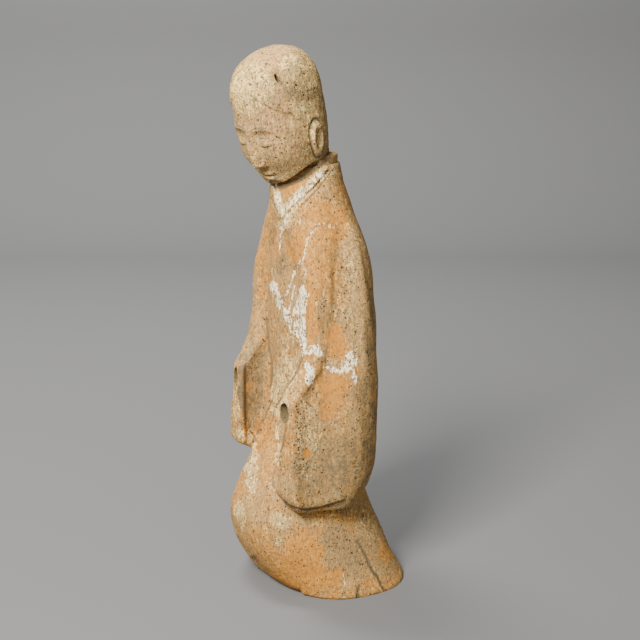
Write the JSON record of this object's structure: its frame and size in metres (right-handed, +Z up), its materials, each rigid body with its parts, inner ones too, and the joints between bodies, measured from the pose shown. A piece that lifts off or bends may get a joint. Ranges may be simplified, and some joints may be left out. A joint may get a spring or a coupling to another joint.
{
  "type": "terracotta court lady figure",
  "caption": "Kneeling court lady in a long robe, hollow low-fired terracotta with traces of cream slip, a lift-off head on a plug and a blind hand socket in each cuff.",
  "frame": {"origin": "on the surface the figure stands on, under the middle of its bounding box", "axes": "+Z up, -Y the way the figure faces, +X towards its own left hand"},
  "size_m": [0.152, 0.1422, 0.45],
  "materials": {
    "body terracotta": "matt porous low-fired clay with worn cream slip and earth stains",
    "head terracotta": "matt low-fired clay, mostly covered by worn cream slip"
  },
  "bodies": {
    "root": {"robed_body": "body terracotta", "head": "head terracotta"}
  },
  "joints": []
}
